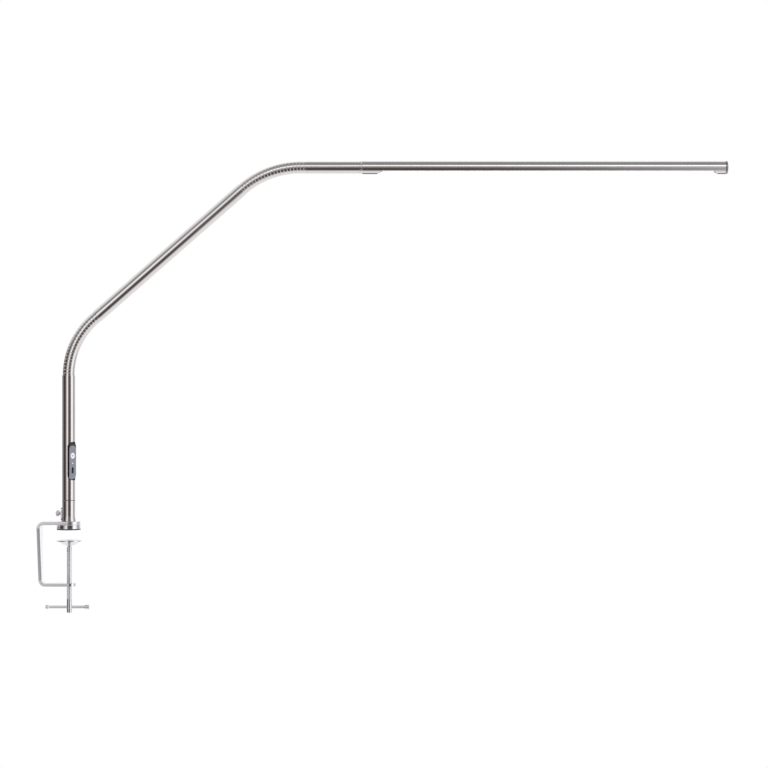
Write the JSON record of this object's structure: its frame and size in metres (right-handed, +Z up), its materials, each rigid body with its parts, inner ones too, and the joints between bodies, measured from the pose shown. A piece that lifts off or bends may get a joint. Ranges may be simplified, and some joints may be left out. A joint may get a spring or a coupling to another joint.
{
  "type": "desk clamp lamp with light bar",
  "caption": "Brushed steel LED bar lamp on a swivelling pole with a goosenecked arm, held by a screw clamp at the desk's edge.",
  "frame": {"origin": "centre of the upper jaw pad's underside, the face that rests on the desk", "axes": "+Z up along the pole, +X along the arm towards the tip of the light bar, -Y to the front, where the control panel can be seen"},
  "size_m": [1.0518, 0.0388, 0.6895],
  "materials": {
    "brushed_steel": "brushed stainless steel",
    "satin_steel": "satin nickel plate",
    "chrome": "polished chrome plate",
    "machined_steel": "plated steel",
    "black_rubber": "matt",
    "black_plastic": "moulded",
    "grey_plastic": "metallic grey",
    "white_plastic": "moulded",
    "clear_lens": "frosted",
    "diffuser_white": "opal",
    "circuit_board": "solder mask",
    "led_yellow": "phosphor",
    "aluminium": "mill finish",
    "wire_insulation": "extruded"
  },
  "bodies": {
    "clamp": {"clamp_bracket": "satin_steel", "jaw_disc": "chrome", "jaw_pad": "black_rubber", "socket_screw": "machined_steel", "pole_socket": "brushed_steel", "lock_plate": "brushed_steel", "socket_bush": "white_plastic", "swivel_washer": "black_rubber"},
    "lock_tip": {"thumbscrew_tip": "white_plastic"},
    "lock_screw": {"thumbscrew": "machined_steel"},
    "pad_stud": {"screw_ball": "machined_steel"},
    "clamp_spindle": {"clamp_screw": "machined_steel"},
    "handle": {"tommy_bar": "satin_steel", "tommy_bar_cap": "satin_steel"},
    "pad": {"clamp_pad": "satin_steel", "pad_ferrule": "satin_steel"},
    "pole": {"pole_tube": "brushed_steel", "pole_pin": "machined_steel", "panel_housing": "black_plastic", "panel_plate": "grey_plastic", "indicator_lens": "clear_lens", "inlet_shell": "machined_steel", "inlet_tongue": "black_plastic", "control_board": "circuit_board", "board_parts": "black_plastic", "tactile_switch": "black_plastic", "board_screws": "machined_steel", "lower_adaptor": "brushed_steel", "pole_wires": "wire_insulation"},
    "button": {"button_cap": "white_plastic", "button_inlay": "grey_plastic", "switch_plunger": "black_plastic"},
    "lower_1": {"lower_link_1": "brushed_steel"},
    "lower_2": {"lower_link_2": "brushed_steel"},
    "lower_3": {"lower_link_3": "brushed_steel"},
    "lower_4": {"lower_link_4": "brushed_steel"},
    "middle_arm": {"middle_tube": "brushed_steel", "arm_adaptor_lower": "brushed_steel", "arm_adaptor_upper": "brushed_steel", "arm_wires": "wire_insulation"},
    "upper_1": {"upper_link_1": "brushed_steel"},
    "upper_2": {"upper_link_2": "brushed_steel"},
    "upper_3": {"upper_link_3": "brushed_steel"},
    "upper_4": {"upper_link_4": "brushed_steel"},
    "neck": {"neck_tube": "brushed_steel", "neck_adaptor": "brushed_steel", "swivel_bush": "white_plastic", "neck_ring": "chrome"},
    "light_bar": {"head_ring": "chrome", "head_spigot": "machined_steel", "spigot_clip": "machined_steel", "head_tube": "brushed_steel", "led_carrier": "aluminium", "led_board": "circuit_board", "leds": "led_yellow", "carrier_screws": "machined_steel", "diffuser": "diffuser_white", "diffuser_ends": "grey_plastic", "head_end_cap": "brushed_steel"}
  },
  "joints": [
    {"name": "clamp_travel", "type": "slide", "parent": "clamp", "child": "pad_stud", "axis": [0, 0, 1], "range_m": [-0.055, 0.0135]},
    {"name": "clamp_turn", "type": "hinge", "parent": "pad_stud", "child": "clamp_spindle", "pos_m": [0.001, 0, -0.022], "axis": [0, 0, 1], "range_deg": [-15840.01, 3888.01]},
    {"name": "pad_tilt", "type": "hinge", "parent": "pad_stud", "child": "pad", "pos_m": [0.001, 0, -0.022], "axis": [0, 1, 0], "range_deg": [-5, 5]},
    {"name": "handle_slide", "type": "slide", "parent": "clamp_spindle", "child": "handle", "axis": [1, 0, 0], "range_m": [-0.0187, 0.027]},
    {"name": "lock_travel", "type": "slide", "parent": "clamp", "child": "lock_tip", "axis": [1, 0, 0], "range_m": [-0.0016, 0]},
    {"name": "lock_turn", "type": "hinge", "parent": "lock_tip", "child": "lock_screw", "pos_m": [-0.0138, 0, 0.0252], "axis": [1, 0, 0], "range_deg": [-720.01, 0.01]},
    {"name": "pole_swivel", "type": "hinge", "parent": "clamp", "child": "pole", "pos_m": [0, 0, 0.0446], "axis": [0, 0, 1], "continuous": true},
    {"name": "button_press", "type": "slide", "parent": "pole", "child": "button", "axis": [0.8192, -0.5736, 0], "range_m": [-0.0005, 0], "stiffness_N_per_m": 1500},
    {"name": "lower_bend", "type": "hinge", "parent": "pole", "child": "lower_1", "pos_m": [0, 0, 0.25183], "axis": [0, 1, 0], "range_deg": [-46.27, 13.73]},
    {"name": "lower_side", "type": "hinge", "parent": "lower_1", "child": "lower_2", "pos_m": [0.0046, 0, 0.26761], "axis": [0.96, 0, -0.2801], "range_deg": [-30, 30]},
    {"name": "lower_bend_2", "type": "hinge", "parent": "lower_2", "child": "lower_3", "pos_m": [0.00921, 0, 0.28339], "axis": [0, 1, 0], "range_deg": [-53.77, 21.23]},
    {"name": "lower_side_2", "type": "hinge", "parent": "lower_3", "child": "lower_4", "pos_m": [0.01805, 0, 0.29725], "axis": [0.8431, 0, -0.5378], "range_deg": [-30, 30]},
    {"name": "lower_bend_3", "type": "hinge", "parent": "lower_4", "child": "middle_arm", "pos_m": [0.02688, 0, 0.3111], "axis": [0, 1, 0], "range_deg": [-53.77, 21.23]},
    {"name": "upper_bend", "type": "hinge", "parent": "middle_arm", "child": "upper_1", "pos_m": [0.27654, 0, 0.52966], "axis": [0, 1, 0], "range_deg": [-43.73, 16.27]},
    {"name": "upper_side", "type": "hinge", "parent": "upper_1", "child": "upper_2", "pos_m": [0.29108, 0, 0.53722], "axis": [0.4612, 0, -0.8873], "range_deg": [-30, 30]},
    {"name": "upper_bend_2", "type": "hinge", "parent": "upper_2", "child": "upper_3", "pos_m": [0.30561, 0, 0.54477], "axis": [0, 1, 0], "range_deg": [-51.23, 23.77]},
    {"name": "upper_side_2", "type": "hinge", "parent": "upper_3", "child": "upper_4", "pos_m": [0.32152, 0, 0.54866], "axis": [0.2374, 0, -0.9714], "range_deg": [-30, 30]},
    {"name": "upper_bend_3", "type": "hinge", "parent": "upper_4", "child": "neck", "pos_m": [0.33743, 0, 0.55255], "axis": [0, 1, 0], "range_deg": [-51.23, 23.77]},
    {"name": "bar_roll", "type": "hinge", "parent": "neck", "child": "light_bar", "pos_m": [0.44831, 0, 0.55255], "axis": [1, 0, 0], "range_deg": [-160, 160]}
  ],
  "couplings": [
    {"joint": "clamp_turn", "follows": "clamp_travel", "rad_per_m": 5026.5},
    {"joint": "lock_turn", "follows": "lock_travel", "rad_per_m": 7854},
    {"joint": "lower_bend_2", "follows": "lower_bend", "ratio": 1},
    {"joint": "lower_bend_3", "follows": "lower_bend", "ratio": 1},
    {"joint": "lower_side_2", "follows": "lower_side", "ratio": 1},
    {"joint": "upper_bend_2", "follows": "upper_bend", "ratio": 1},
    {"joint": "upper_bend_3", "follows": "upper_bend", "ratio": 1},
    {"joint": "upper_side_2", "follows": "upper_side", "ratio": 1}
  ]
}
